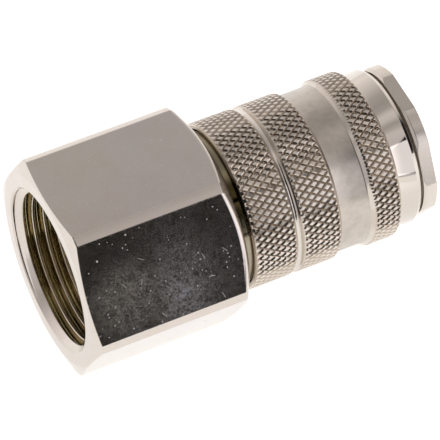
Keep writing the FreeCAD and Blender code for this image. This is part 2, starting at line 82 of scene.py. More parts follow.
HEX_SIDES = 6
FLAT_SHARE = 0.94
FLAT_STEPS = 17
CORNER_STEPS = 6
EDGE_DEGREES = (-0.9, -0.5, -0.25, -0.1, 0.0, 0.1, 0.25, 0.5, 0.9)


def hexagon_angles(flat, corner, turn):
    """Angles round a hexagon with turned corners: even along each flat, and close together at its ends."""
    end = math.acos(flat / corner)
    along_flat = np.arctan(np.linspace(-FLAT_SHARE, FLAT_SHARE, FLAT_STEPS) * math.tan(end))
    near_end = end + np.radians(EDGE_DEGREES)
    corner_middle = np.linspace(end, SIXTH - end, CORNER_STEPS)[1:-1]
    half = np.concatenate([along_flat, near_end, corner_middle[corner_middle > near_end[-1]]])
    sector = np.unique(np.round(np.concatenate([half, -half]), 9))
    sector = sector[(sector > -SIXTH / 2) & (sector <= SIXTH / 2)]
    return np.concatenate([sector + turn + SIXTH * side for side in range(HEX_SIDES)])


def hexagon_radius(angle, flat, corner, turn, softness=0.03):
    """Smallest of the flat's radius, flat / cos(angle from its middle), and the corner's, with a soft edge:
    -k log(exp(-a / k) + exp(-b / k))."""
    off_middle = (angle - turn + SIXTH / 2) % SIXTH - SIXTH / 2
    rise = corner - flat / np.cos(off_middle)
    return corner - softness * np.logaddexp(0, rise / softness)


FILLET_SHARE = 0.36
FILLET_HOLD = 1.3


def rounded(corners, fillet, steps=3):
    """Line through corners of (place along, radius), each one rounded by (1-t)^2 a + 2t(1-t) c + t^2 b
    between points a and b on its two sides. Corners may differ from angle to angle, and fillets
    from corner to corner. A row close to each end of a fillet holds the straight part straight."""
    width = max(np.size(value) for corner in corners for value in corner)
    points = np.stack([np.stack([np.broadcast_to(np.asarray(value, float), width) for value in corner], -1)
                       for corner in corners])
    rows = [points[0]]
    fillets = np.broadcast_to(fillet, len(points) - 2)
    for before, at, after, largest in zip(points, points[1:], points[2:], fillets):
        back = before - at
        ahead = after - at
        back_length = np.linalg.norm(back, axis=-1, keepdims=True)
        ahead_length = np.linalg.norm(ahead, axis=-1, keepdims=True)
        reach = np.minimum(largest, FILLET_SHARE * np.minimum(back_length, ahead_length))
        start = at + back / back_length * reach
        end = at + ahead / ahead_length * reach
        rows.append(at + back / back_length * reach * FILLET_HOLD)
        for share in np.linspace(0, 1, steps + 1):
            rows.append((1 - share) ** 2 * start + 2 * share * (1 - share) * at + share ** 2 * end)
        rows.append(at + ahead / ahead_length * reach * FILLET_HOLD)
    rows.append(points[-1])
    return np.stack(rows)


def new_piece(name, points, faces, **marks):
    """Smooth mesh object of points in metres. Marks are numbers kept on its points."""
    mesh = bpy.data.meshes.new(name)
    mesh.from_pydata(points, [], faces)
    mesh.shade_smooth()
    for mark, values in marks.items():
        kept = mesh.attributes.new(mark, "FLOAT", "POINT")
        kept.data.foreach_set("value", values.astype(np.float32).ravel())
    piece = bpy.data.objects.new(name, mesh)
    bpy.context.scene.collection.objects.link(piece)
    return piece


def turned_skin(name, rows, angles, slope_faces=False, **marks):
    """Closed skin from rows of (place along, radius) at every angle a about the axis:
    x = along, y = -radius sin a, z = axis + radius cos a. With slope_faces, each four-sided face is split
    along the diagonal whose ends differ less in radius."""
    rows = np.broadcast_to(rows, (len(rows), len(angles), 2))
    along = rows[..., 0]
    radius = rows[..., 1]
    points = np.stack([along - MIDDLE, -radius * np.sin(angles), AXIS_HEIGHT + radius * np.cos(angles)], -1)
    points = points.reshape(-1, 3) * MILLIMETRE
    row, column = np.meshgrid(np.arange(len(rows)), np.arange(len(angles)), indexing="ij")
    next_row = (row + 1) % len(rows)
    next_column = (column + 1) % len(angles)
    count = len(angles)
    quads = np.stack([row * count + column, next_row * count + column,
                      next_row * count + next_column, row * count + next_column], -1).reshape(-1, 4)
    centre = points.mean(0)
    a, b, c, d = (points[quads[:, corner]] - centre for corner in range(4))
    if np.einsum("ij,ij->i", a, np.cross(b, c) + np.cross(c, d)).sum() < 0:
        quads = quads[:, ::-1]
    faces = quads
    if slope_faces:
        level = np.linalg.norm(points[:, 1:] - [0, AXIS_HEIGHT * MILLIMETRE], axis=1)[quads]
        first = np.abs(level[:, 0] - level[:, 2]) <= np.abs(level[:, 1] - level[:, 3])
        one_way = quads[:, [[0, 1, 2], [0, 2, 3]]]
        other_way = quads[:, [[1, 2, 3], [1, 3, 0]]]
        faces = np.where(first[:, None, None], one_way, other_way).reshape(-1, 3)
    spread = {mark: np.broadcast_to(values, along.shape) for mark, values in marks.items()}
    return new_piece(name, points, faces, **spread)


THREAD_STEEPNESS = 1.5
THREAD_FADE = 1.6
THREAD_FADE_END = 0.4


def tapped_rows(angles, start, end, step):
    """Pipe thread, r = crest + height * form(place / pitch - turn), opened by the countersink's cone and
    fading out towards the bottom of the bore. The form is halfway between straight and rounded flanks."""
    along = np.linspace(start, end, round(abs(end - start) / step) + 1)[:, None]
    wave = (along / THREAD_PITCH - angles / FULL_TURN) % 1.0
    ramp = (1 - np.abs(2 * wave - 1)) * THREAD_STEEPNESS - (THREAD_STEEPNESS - 1) / 2
    flank = np.clip(ramp, 0, 1)
    form = 0.5 * flank + 0.5 * flank ** 2 * (3 - 2 * flank)
    fade = np.clip((THREAD_DEPTH - THREAD_FADE_END - along) / THREAD_FADE, 0, 1)
    radius = THREAD_CREST + (THREAD_ROOT - THREAD_CREST) * form * fade
    radius = np.maximum(radius, COUNTERSINK - along)
    return np.stack([np.broadcast_to(along, radius.shape), radius], -1)


HEX_SOFTNESS = 0.012
adapter_angles = hexagon_angles(HEX_FLAT, HEX_CORNER, 0.0)
adapter_radius = hexagon_radius(adapter_angles, HEX_FLAT, HEX_CORNER, 0.0, HEX_SOFTNESS)
chamfer_share = (adapter_radius - HEX_FACE) / (HEX_CORNER - HEX_FACE)
flat_start = THREAD_END_CHAMFER * chamfer_share
flat_end = HEX_LENGTH - NECK_END_CHAMFER * chamfer_share
EDGE = 1.5
MARGIN = 1.7
WORN = 0.7
FACE_FILLET = 0.16
RIM_FILLET = 0.2
CORNER_FILLET = 0.5
SHOULDER_FILLET = 0.26
INNER_FILLET = 0.09
INNER_CORNERS = 13
FACE_STEPS = 4
SIDE_STEPS = 6
THREAD_TOP = 0.1
THREAD_MOUTH = 0.25
THREAD_ROW = 0.075
adapter_rows = np.concatenate([
    rounded([
        (COUNTERSINK_LIP, COUNTERSINK - COUNTERSINK_LIP),
        (0.0, COUNTERSINK),
        (0.0, HEX_FACE),
        (flat_start, adapter_radius),
        (flat_start + EDGE, adapter_radius),
    ], [FACE_FILLET, FACE_FILLET, RIM_FILLET], FACE_STEPS),
    np.stack([np.stack([place, adapter_radius], -1) for place in (
        flat_start + MARGIN, 0.5 * (flat_start + flat_end), flat_end - MARGIN)]),
    rounded([
        (flat_end - EDGE, adapter_radius),
        (flat_end, adapter_radius),
        (SHOULDER_END, SHOULDER),
        (SHOULDER_END, NECK),
        (NECK_END - NECK_BREAK, NECK),
        (NECK_END, NECK - NECK_BREAK),
        (NECK_END, SOCKET),
        (BODY_REAR, SOCKET),
        (BODY_REAR, PASSAGE),
        (GUIDE_SEAT, PASSAGE),
        (GUIDE_SEAT, RECESS),
        (SNAP_GROOVE_END, RECESS),
        (SNAP_GROOVE_END, SNAP_GROOVE),
        (SNAP_GROOVE_START, SNAP_GROOVE),
        (SNAP_GROOVE_START, RECESS),
        (THREAD_DEPTH, RECESS),
        (THREAD_DEPTH, THREAD_CREST),
    ], [CORNER_FILLET, SHOULDER_FILLET] + [INNER_FILLET] * INNER_CORNERS, SIDE_STEPS),
    tapped_rows(adapter_angles, THREAD_DEPTH - THREAD_TOP, THREAD_MOUTH, THREAD_ROW),
])

# Marks on the adapter's points: how far inside a flat, how oily and darkened by painted shade on the neck,
# how filmed in the bore, how far round
HAIR = 0.05
TOUCH = 0.02
FILM_START = 1.0
FILM_FADE = 0.6
FILM_CREST = 0.3
FILM_GROOVE = 0.58
# Painted shade with an oil film on the neck, between the hexagon and the sleeve: darkest round one angle,
# less dark on the lower front
OIL_AND_SHADE_LEVEL = 0.95
SHADE_PEAK = 0.3
SHADE_ANGLE = 37
SHADE_SPREAD = 15
LOWER_FRONT_LIGHTER_SHARE = 0.15
LOWER_FRONT_LIGHTER_ANGLE = 62
LOWER_FRONT_LIGHTER_FADE = 8
along = adapter_rows[..., 0]
radius = adapter_rows[..., 1]
half_flat = HEX_FLAT * np.tan(np.arccos(HEX_FLAT / HEX_CORNER))
across = half_flat - np.sqrt(np.maximum(radius ** 2 - HEX_FLAT ** 2, 0))
inside_flat = np.minimum(np.minimum(along - flat_start, flat_end - along), across)
inside_flat = np.where(radius > adapter_radius - TOUCH, np.clip(inside_flat / WORN, 0, 1), 0)
in_bore = (radius < THREAD_ROOT + HAIR) * (along < BODY_REAR + 2 * HAIR)
in_bore = in_bore * np.clip((along - FILM_START) / FILM_FADE, 0, 1)
groove_share = np.clip((radius - THREAD_CREST - 2 * HAIR) / (THREAD_ROOT - THREAD_CREST), 0, 1)
bore_filmed = in_bore * (FILM_CREST + FILM_GROOVE * groove_share)
on_neck = (along > SHOULDER_END - HAIR) * (radius < NECK + HAIR)
degrees = np.degrees(adapter_angles)
# Painted shade with an oil film on the neck: darkest round the peak angle, less dark on the lower front side
neck_oil_and_shade = OIL_AND_SHADE_LEVEL + SHADE_PEAK * np.exp(-((degrees - SHADE_ANGLE) / SHADE_SPREAD) ** 2)
neck_oil_and_shade = neck_oil_and_shade - LOWER_FRONT_LIGHTER_SHARE * np.clip((degrees - LOWER_FRONT_LIGHTER_ANGLE) / LOWER_FRONT_LIGHTER_FADE, 0, 1)
side_number = np.floor((adapter_angles + SIXTH / 2) / SIXTH)
girth = HEX_FLAT * np.tan(adapter_angles - side_number * SIXTH) + 2 * HEX_CORNER * side_number
adapter = turned_skin("threaded_adapter", adapter_rows, adapter_angles, flat=inside_flat,
                      soil=on_neck * neck_oil_and_shade, film=bore_filmed, girth=girth * MILLIMETRE)


class Shade:
    """One socket of a node tree. Sums and products of sockets add Math nodes."""

    def __init__(self, tree, socket):
        self.tree = tree
        self.socket = socket

    def node(self, kind, settings=None, sockets=None, output=0):
        """Adds a node: first its settings, then a value or a link for each of its sockets."""
        made = self.tree.nodes.new(kind)
        for name, value in (settings or {}).items():
            setattr(made, name, value)
        for name, value in (sockets or {}).items():
            if isinstance(value, Shade):
                self.tree.links.new(value.socket, made.inputs[name])
            else:
                made.inputs[name].default_value = value
        return Shade(self.tree, made.outputs[output])

    def math(self, operation, *values):
        return self.node("ShaderNodeMath", {"operation": operation}, dict(enumerate(values)))

    def __add__(self, other):
        return self.math("ADD", self, other)

    __radd__ = __add__

    def __mul__(self, other):
        return self.math("MULTIPLY", self, other)

    __rmul__ = __mul__

    def __sub__(self, other):
        return self.math("SUBTRACT", self, other)

    def __rsub__(self, other):
        return self.math("SUBTRACT", other, self)

    def __truediv__(self, other):
        return self.math("DIVIDE", self, other)

    def rise(self, low, high):
        """Smooth step from 0 at low to 1 at high."""
        return self.node("ShaderNodeMapRange", {"interpolation_type": "SMOOTHSTEP"},
                         {"Value": self, "From Min": low, "From Max": high})

    def between(self, low, high, soft):
        """1 between two values, with soft ends."""
        return self.rise(low - soft, low + soft) * (1 - self.rise(high - soft, high + soft))

    def mix(self, first, second):
        """Colour that goes from the first to the second with this value."""
        return self.node("ShaderNodeMix", {"data_type": "RGBA"}, {0: self, 6: first, 7: second}, 2)

    def ramp(self, stops):
        """Colour that follows this value through stops of (value from 0 to 1, colour)."""
        result = self.node("ShaderNodeValToRGB", None, {0: self})
        elements = result.socket.node.color_ramp.elements
        for position, colour in stops[2:]:
            elements.new(position)
        for element, (position, colour) in zip(elements, stops):
            element.position = position
            element.color = (*colour, 1.0)
        return result

    def mark(self, name):
        """A number kept on the piece's points."""
        return self.node("ShaderNodeAttribute", {"attribute_name": name}, None, "Fac")

    def axis(self, index):
        return self.node("ShaderNodeSeparateXYZ", None, {0: self}, index)

    def mapped(self, scale, rotation=(0, 0, 0), shift=(0, 0, 0)):
        return self.node("ShaderNodeMapping", None,
                         {"Vector": self, "Scale": scale, "Rotation": rotation, "Location": shift})

    def noise(self, scale, detail=2.0, roughness=0.5):
        """Cloudy noise from 0 to 1, with so many blobs to a metre."""
        return self.node("ShaderNodeTexNoise", None,
                         {"Vector": self, "Scale": scale, "Detail": detail, "Roughness": roughness})

    def specks(self, scale, size, share):
        """Dots on a few of the cells of a random lattice."""
        settings = {"feature": "F1"}
        sockets = {"Vector": self, "Scale": scale}
        distance = self.node("ShaderNodeTexVoronoi", settings, sockets, "Distance")
        chance = self.node("ShaderNodeTexVoronoi", settings, sockets, "Color").axis(0)
        return (1 - distance.rise(size * 0.5, size)) * chance.rise(1 - share, 1 - share + 0.02)

    def scratches(self, cells, length, width, share):
        """Short straight marks in some of the cells of a flat lattice, each turned at random."""
        settings = {"voronoi_dimensions": "2D", "feature": "F1"}
        sockets = {"Vector": self, "Scale": cells}
        centre = self.node("ShaderNodeTexVoronoi", settings, sockets, "Position")
        chance = self.node("ShaderNodeTexVoronoi", settings, sockets, "Color")
        away = self.node("ShaderNodeVectorMath", {"operation": "SUBTRACT"}, {0: self, 1: centre})
        turned = self.node("ShaderNodeVectorRotate", {"rotation_type": "Z_AXIS"},
                           {"Vector": away, "Angle": chance.axis(0) * FULL_TURN})
        along = turned.axis(0)
        across = turned.axis(1)
        mark = (1 - across.math("ABSOLUTE", across).rise(width * 0.4, width)) \
            * (1 - along.math("ABSOLUTE", along).rise(length * 0.5, length))
        return mark * chance.axis(1).rise(1 - share, 1 - share + 0.01)

    def distance(self, point):
        """Distance from a point, in metres."""
        return self.node("ShaderNodeVectorMath", {"operation": "DISTANCE"}, {0: self, 1: point}, "Value")


def finish_of(name):
    """A new material: itself, its surface shader, and its place on the piece."""
    material = bpy.data.materials.new(name)
    material.use_nodes = True
    tree = material.node_tree
    surface = tree.nodes["Principled BSDF"]
    coordinates = tree.nodes.new("ShaderNodeTexCoord")
    return material, surface, Shade(tree, coordinates.outputs["Object"])


def attach(surface, **values):
    """Links or sets the surface shader's sockets, named with underscores for spaces."""
    for name, value in values.items():
        socket = surface.inputs[name.replace("_", " ")]
        if isinstance(value, Shade):
            value.tree.links.new(value.socket, socket)
        else:
            socket.default_value = value


def bumped(height, strength, distance):
    """Normal of a small height, given in metres for each unit of it."""
    return height.node("ShaderNodeBump", None, {"Height": height, "Strength": strength, "Distance": distance})


def axis_radius(place):
    """Distance from the coupling's axis, in metres."""
    height = place.axis(2) - AXIS_HEIGHT * MILLIMETRE
    side = place.axis(1)
    return (side * side + height * height).math("SQRT", side * side + height * height)


NICKEL = (0.66, 0.612, 0.552, 1.0)
NICKEL_WARM = (0.62, 0.555, 0.475, 1.0)
NICKEL_PINK = (0.66, 0.60, 0.565, 1.0)
# Oil film colour, also used as painted shade in the gaps; the darker colour is painted shade only
OIL_AND_SHADE_TINT = (0.15, 0.12, 0.045, 1.0)
PAINTED_GAP_SHADE = (0.055, 0.042, 0.016, 1.0)
BORE_FILM = (0.50, 0.435, 0.22, 1.0)
# Haze colours of the flats, also the colours of painted reflections on the front flat
PALE_HAZE_AND_REFLECTION = (0.52, 0.49, 0.42, 1.0)
BLUE_HAZE_AND_REFLECTION = (0.42, 0.48, 0.60, 1.0)
DUST = (0.66, 0.66, 0.64, 1.0)

# Places of painted reflections on the front flat: a pale patch, a bluish patch and a painted highlight
PAINTED_REFLECTION_PLACE = (-0.0238, -0.0153, 0.0217)
PAINTED_BLUE_REFLECTION_PLACE = (-0.0142, -0.0160, 0.0205)
PAINTED_HIGHLIGHT_PLACE = (-0.0160, -0.0163, 0.0197)

plate, plate_surface, place = finish_of("nickel_plated_hexagon")
flat = place.mark("flat")
soil = place.mark("soil")
bore_film = place.mark("film")
skin = place.node("ShaderNodeCombineXYZ", None, {0: place.axis(0), 1: place.mark("girth")})
patch = place.noise(200.0, 5.0, 0.65).rise(0.38, 0.70)
grain = place.noise(3200.0, 3.0, 0.6)
sand = place.noise(2900.0, 2.0, 0.7).rise(0.36, 0.66)
blotch = place.noise(760.0, 5.0, 0.7).rise(0.30, 0.72)
scratch = skin.scratches(110.0, 0.0022, 0.00005, 0.30)
scratch = scratch.math("MAXIMUM", scratch, skin.scratches(300.0, 0.0007, 0.00005, 0.22))
inside = flat.rise(0.0, 0.02) * (flat + (place.noise(1300.0, 2.0) - 0.5) * 0.7).rise(0.10, 0.22)
dust = place.specks(1500.0, 0.2, 0.24)
dust = dust.math("MAXIMUM", dust, place.specks(560.0, 0.12, 0.3))
nicks = place.specks(1700.0, 0.3, 0.3) * flat.between(0.02, 0.16, 0.02) * 0.8
dust = dust.math("MAXIMUM", dust.math("MAXIMUM", dust, scratch * 0.6) * inside, nicks)
# Haze on the flats with painted reflections at fixed places: a pale patch, a bluish patch and a painted
# highlight, weaker towards the neck end
painted_reflection = 1 - place.distance(PAINTED_REFLECTION_PLACE).rise(0.002, 0.0085)
painted_blue_reflection = 1 - place.distance(PAINTED_BLUE_REFLECTION_PLACE).rise(0.002, 0.0115)
painted_highlight = 1 - place.distance(PAINTED_HIGHLIGHT_PLACE).rise(0.0005, 0.0045)
haze_and_painted_reflection = painted_reflection.math("MAXIMUM", painted_reflection * 0.2, painted_blue_reflection * 0.17) + place.axis(0).rise(-0.024, -0.018) * 0.03
haze_and_painted_reflection = (0.04 + haze_and_painted_reflection + painted_highlight * 0.12) * (0.1 + blotch * 0.75 + sand * 0.95) * inside
haze_and_painted_reflection = haze_and_painted_reflection * (1 - place.axis(0).rise(-0.0145, -0.0090) * 0.35)
ring_wave = axis_radius(place).noise(9000.0, 1.0)
turned_rough = 0.16 + ring_wave * 0.1 - (soil + bore_film) * 0.13
flat_rough = 0.03 + patch * 0.03 + grain * 0.03
plate_rough = turned_rough + inside * (flat_rough - turned_rough)
tint = place.noise(95.0, 2.0).rise(0.35, 0.65).mix(NICKEL, NICKEL_PINK)
tint = (patch * 0.45 + grain * 0.2).mix(tint, NICKEL_WARM)
tool_rings = axis_radius(place).noise(4200.0, 2.0, 0.6).rise(0.42, 0.64) * (0.4 + blotch * 0.6)
tint = (tool_rings * (1 - inside) * 0.55).mix(tint, NICKEL_WARM)
tint = bore_film.mix(tint, BORE_FILM)
# Painted shade: the neck is tinted with oil and darkened where it lies in shade between the hexagon and the
# sleeve
tint = (soil * 0.8).mix(tint, OIL_AND_SHADE_TINT)
tint = soil.rise(0.95, 1.2).mix(tint, PAINTED_GAP_SHADE)
# Haze and painted reflection: pale towards the thread end, bluish further along
tint = haze_and_painted_reflection.mix(tint, place.axis(0).rise(-0.021, -0.015).mix(PALE_HAZE_AND_REFLECTION, BLUE_HAZE_AND_REFLECTION))
attach(plate_surface, Base_Color=dust.mix(tint, DUST), Metallic=1 - dust.math("MAXIMUM", dust, haze_and_painted_reflection),
       Roughness=plate_rough.math("MAXIMUM", plate_rough, dust * 0.8),
       Normal=bumped(grain * 0.6 + patch, 0.15, 0.00001))
adapter.data.materials.append(plate)
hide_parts("threaded_body")
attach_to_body(adapter, "base")

# Valve guide: a perforated disc turned from bare brass, with a hub that the poppet's stem slides in.
# It drops into the adapter's recess from the thread side and shows in the bottom of the thread's bore.


def dress(node, material):
    """A node of the frame keeps its shape and takes a new material."""
    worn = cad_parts[node].data.materials
    worn.clear()
    worn.append(material)


BRASS = (0.80, 0.59, 0.28, 1.0)
BRASS_TARNISH = (0.52, 0.34, 0.14, 1.0)
brass, brass_surface, place = finish_of("turned_brass")
tool_rings = axis_radius(place).noise(6500.0, 2.0)
tarnish = place.noise(380.0, 4.0, 0.6).rise(0.45, 0.78)
attach(brass_surface, Base_Color=(tarnish * 0.5).mix(BRASS, BRASS_TARNISH), Metallic=1.0,
       Roughness=0.16 + tool_rings * 0.12 + tarnish * 0.12, Normal=bumped(tool_rings, 0.3, 0.000008))
dress("valve_guide", brass)

# Snap ring: bent from flat spring steel and oil blackened. It springs out into the groove behind the
# guide and keeps it in its recess.
BLACKENED = (0.10, 0.098, 0.095, 1.0)
RUBBED = (0.42, 0.41, 0.40, 1.0)
blackened, blackened_surface, place = finish_of("oil_blackened_steel")
rubbed = place.noise(900.0, 4.0, 0.65).rise(0.50, 0.80)
attach(blackened_surface, Base_Color=(rubbed * 0.7).mix(BLACKENED, RUBBED), Metallic=1.0,
       Roughness=0.42 - rubbed * 0.16 + place.noise(4200.0) * 0.08)
dress("guide_snap_ring", blackened)

# Valve spring: thin drawn wire with close end turns. It stands on the guide, round its hub, and keeps
# the poppet shut, so it shortens as the plug pushes the poppet back.
SPRING_PLAY = 0.05
VALVE_SPRING_END = 36.7
VALVE_COIL = 3.95
VALVE_WIRE = 0.35
VALVE_TURNS = 7


CLOSE_PITCH = 2.15


def wound_wire(name, start, end, coil, wire, turns, sides=14, steps=72):
    """Tube round a helix: middle(t) = x(t) along, at the coil's radius and the angle 2 pi t, and a point at
    the angle b of the wire's section is middle + wire (cos b outward + sin b across). Close at both ends."""
    turn = np.linspace(0, turns, turns * steps + 1)
    first = start + SPRING_PLAY + wire
    last = end - SPRING_PLAY - wire
    rise = CLOSE_PITCH * wire
    along = np.interp(turn, [0, 1, turns - 1, turns], [first, first + rise, last - rise, last])
    angle = FULL_TURN * turn
    outward = np.stack([0 * angle, -np.sin(angle), np.cos(angle)], -1)
    middle = np.stack([along - MIDDLE, 0 * along, 0 * along + AXIS_HEIGHT], -1) + coil * outward
    ahead = np.gradient(middle, axis=0)
    ahead = ahead / np.linalg.norm(ahead, axis=1, keepdims=True)
    across = np.cross(ahead, outward)
    section = (np.arange(sides) * FULL_TURN / sides)[:, None]
    points = middle[:, None] + wire * (np.cos(section) * outward[:, None] + np.sin(section) * across[:, None])
    ring, side = np.meshgrid(np.arange(len(turn) - 1), np.arange(sides), indexing="ij")
    after = (side + 1) % sides
    quads = np.stack([ring * sides + side, ring * sides + after,
                      (ring + 1) * sides + after, (ring + 1) * sides + side], -1).reshape(-1, 4).tolist()
    ends = [list(range(sides))[::-1], list(range((len(turn) - 1) * sides, len(turn) * sides))]
    length = np.broadcast_to((angle * coil * MILLIMETRE)[:, None], points.shape[:2])
    spread = np.broadcast_to(section[:, 0] * wire * MILLIMETRE, points.shape[:2])
    return new_piece(name, points.reshape(-1, 3) * MILLIMETRE, quads + ends, length=length, spread=spread)


WIRE = (0.50, 0.49, 0.475, 1.0)
WIRE_DARK = (0.30, 0.29, 0.275, 1.0)
drawn, drawn_surface, place = finish_of("drawn_spring_wire")
unrolled = place.node("ShaderNodeCombineXYZ", None, {0: place.mark("length") * 0.03, 1: place.mark("spread")})
die_lines = unrolled.noise(5200.0, 3.0, 0.6)
attach(drawn_surface, Base_Color=die_lines.rise(0.35, 0.70).mix(WIRE, WIRE_DARK), Metallic=1.0,
       Roughness=0.20 + die_lines * 0.18, Normal=bumped(die_lines, 0.25, 0.00001))
valve_spring = wound_wire("valve_spring_wire", GUIDE_SEAT, VALVE_SPRING_END,
                          VALVE_COIL, VALVE_WIRE, VALVE_TURNS)
valve_spring.data.materials.append(drawn)
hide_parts("valve_spring")
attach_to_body(valve_spring, "valve")
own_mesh(valve_spring)

# Valve poppet: moulded in black glass-filled plastic, with a nose that the plug pushes and a stem that
# runs in the guide. Fine fibres show in its skin.
POPPET_BLACK = (0.018, 0.018, 0.020, 1.0)
POPPET_FIBRE = (0.055, 0.055, 0.058, 1.0)
moulded, moulded_surface, place = finish_of("moulded_plastic")
fibres = place.mapped((0.35, 1.0, 1.0)).noise(3800.0, 3.0, 0.7).rise(0.52, 0.74)
skin_waves = place.noise(700.0, 2.0)
attach(moulded_surface, Base_Color=fibres.mix(POPPET_BLACK, POPPET_FIBRE),
       Roughness=0.32 + fibres * 0.15 + skin_waves * 0.10, Normal=bumped(fibres + skin_waves, 0.3, 0.000015))
dress("valve_poppet", moulded)

# Seals: three moulded O-rings of black nitrile rubber. One sits in the poppet and closes the valve, one
# grips the plug's tip, and one seals the body in the adapter.
RUBBER = (0.012, 0.012, 0.013, 1.0)
RUBBER_BLOOM = (0.045, 0.044, 0.042, 1.0)
rubber, rubber_surface, place = finish_of("nitrile_rubber")
bloom_film = place.noise(600.0, 4.0, 0.6).rise(0.45, 0.75)
pores = place.noise(5200.0, 2.0)
attach(rubber_surface, Base_Color=(bloom_film * 0.7).mix(RUBBER, RUBBER_BLOOM),
       Roughness=0.50 + bloom_film * 0.18 + pores * 0.08, Normal=bumped(pores, 0.25, 0.00001))
for seal in ("valve_seal", "plug_seal", "body_seal"):
    dress(seal, rubber)

# Coupling body: the turned tube that takes the plug, screwed into the adapter. Eight holes hold the
# locking balls. Only its thin hexagonal mouth flange and its mouth show outside.
FLANGE_FLAT = 11.85
FLANGE_CORNER = 12.4
FLANGE_TURN = math.radians(3.0)
FLANGE_CHAMFER = 0.07
FLANGE_REAR_CHAMFER = 0.36
FLANGE_REAR_SLOPE = 1.2
FLANGE_START = 58.3
MOUTH = 60.5
BALL_PLACE = 51.5
BALL_COUNT = 8
BALL_BORE = 7.6
HOLE = 1.85
HOLE_LIP = 1.61
HOLE_START = 6.3
HOLE_WIDENED = 8.1
HOLE_END = 11.7


def ball_hole_cutter(name, sides=40):
    """All ball holes as one mesh: rings about radial lines, narrower by a lip at the bore. A point is
    centre + height outward + width (cos t ahead + sin t sideways)."""
    heights = np.array([HOLE_START, BALL_BORE, HOLE_WIDENED, HOLE_END])[:, None, None]
    widths = np.array([HOLE_LIP, HOLE_LIP, HOLE, HOLE])[:, None, None]
    turn = (np.arange(sides) * FULL_TURN / sides)[:, None]
    lean = np.arange(BALL_COUNT) * FULL_TURN / BALL_COUNT
    centre = np.array([BALL_PLACE - MIDDLE, 0.0, AXIS_HEIGHT])
    ahead = np.array([1.0, 0.0, 0.0])
    outward = np.stack([0 * lean, np.sin(lean), np.cos(lean)], -1)
    sideways = np.cross(outward, ahead)
    circle = np.cos(turn) * ahead + np.sin(turn) * sideways[:, None]
    points = centre + outward[:, None, None] * heights + widths * circle[:, None]
    number = np.arange(points[..., 0].size).reshape(points.shape[:-1])
    after = np.roll(number, -1, axis=2)
    walls = np.stack([number[:, :-1], after[:, :-1], after[:, 1:], number[:, 1:]], -1)
    walls = walls.reshape(BALL_COUNT, -1, 4).tolist()
    inner_ends = number[:, 0, ::-1].tolist()
    outer_ends = number[:, -1].tolist()
    faces = sum(([*wall, inner, outer] for wall, inner, outer in zip(walls, inner_ends, outer_ends)), [])
    return new_piece(name, points.reshape(-1, 3) * MILLIMETRE, faces)


TUBE = 9.4
TUBE_BREAK = 0.3
TUBE_END = 45.7
TUBE_FACE_OUTER = 8.4
TUBE_FACE_INNER = 8.3
SEAL_GROOVE = 8.45
SEAL_GROOVE_START = 28.6
SEAL_GROOVE_END = 29.6
COLLAR = 10.2
COLLAR_START = 46.5
GUIDE = 11.15
GUIDE_START = 52.55
GAP_START = 57.2
MOUTH_EDGE = 9.8
MOUTH_BORE = 9.0
MOUTH_BORE_START = 59.7
MOUTH_BORE_END = 56.0
BALL_BORE_START = 55.4
BALL_BORE_END = 46.5
BALL_BORE_ROWS = (53.5, 52.2, 50.8, 49.5)
TIP_BORE = 6.0
TIP_SEAL_GROOVE = 7.7
TIP_SEAL_START = 45.3
TIP_SEAL_END = 43.0
VALVE_SEAT_START = 41.3
VALVE_SEAT_END = 39.4
VALVE_ROOM = 7.9
BODY_FILLET = 0.06
body_angles = hexagon_angles(FLANGE_FLAT, FLANGE_CORNER, FLANGE_TURN)
flange_radius = hexagon_radius(body_angles, FLANGE_FLAT, FLANGE_CORNER, FLANGE_TURN)
flange_edge = np.minimum(flange_radius - HAIR, FLANGE_CORNER - FLANGE_CHAMFER)
flange_rear_edge = np.minimum(flange_radius - HAIR, FLANGE_CORNER - FLANGE_REAR_CHAMFER)
body_rows = rounded([
    (BODY_REAR, TUBE_FACE_OUTER),
    (BODY_REAR, TUBE - TUBE_BREAK),
    (BODY_REAR + TUBE_BREAK, TUBE),
    (SEAL_GROOVE_START, TUBE),
    (SEAL_GROOVE_START, SEAL_GROOVE),
    (SEAL_GROOVE_END, SEAL_GROOVE),
    (SEAL_GROOVE_END, TUBE),
    (TUBE_END, TUBE),
    (COLLAR_START, COLLAR),
    (GUIDE_START, COLLAR),
    (GUIDE_START, GUIDE),
    (GAP_START, GUIDE),
    (FLANGE_START, GUIDE),
    (FLANGE_START, flange_rear_edge),
    (FLANGE_START + (flange_radius - flange_rear_edge) * FLANGE_REAR_SLOPE, flange_radius),
    (MOUTH - flange_radius + flange_edge, flange_radius),
    (MOUTH, flange_edge),
    (MOUTH, MOUTH_EDGE),
    (MOUTH_BORE_START, MOUTH_BORE),
    (MOUTH_BORE_END, MOUTH_BORE),
    (BALL_BORE_START, BALL_BORE),
    *[(row, BALL_BORE) for row in BALL_BORE_ROWS],
    (BALL_BORE_END, BALL_BORE),
    (BALL_BORE_END, TIP_BORE),
    (TIP_SEAL_START, TIP_BORE),
    (TIP_SEAL_START, TIP_SEAL_GROOVE),
    (TIP_SEAL_END, TIP_SEAL_GROOVE),
    (TIP_SEAL_END, TIP_BORE),
    (VALVE_SEAT_START, TIP_BORE),
    (VALVE_SEAT_END, VALVE_ROOM),
    (BODY_REAR, VALVE_ROOM),
    (BODY_REAR, TUBE_FACE_INNER),
], BODY_FILLET)

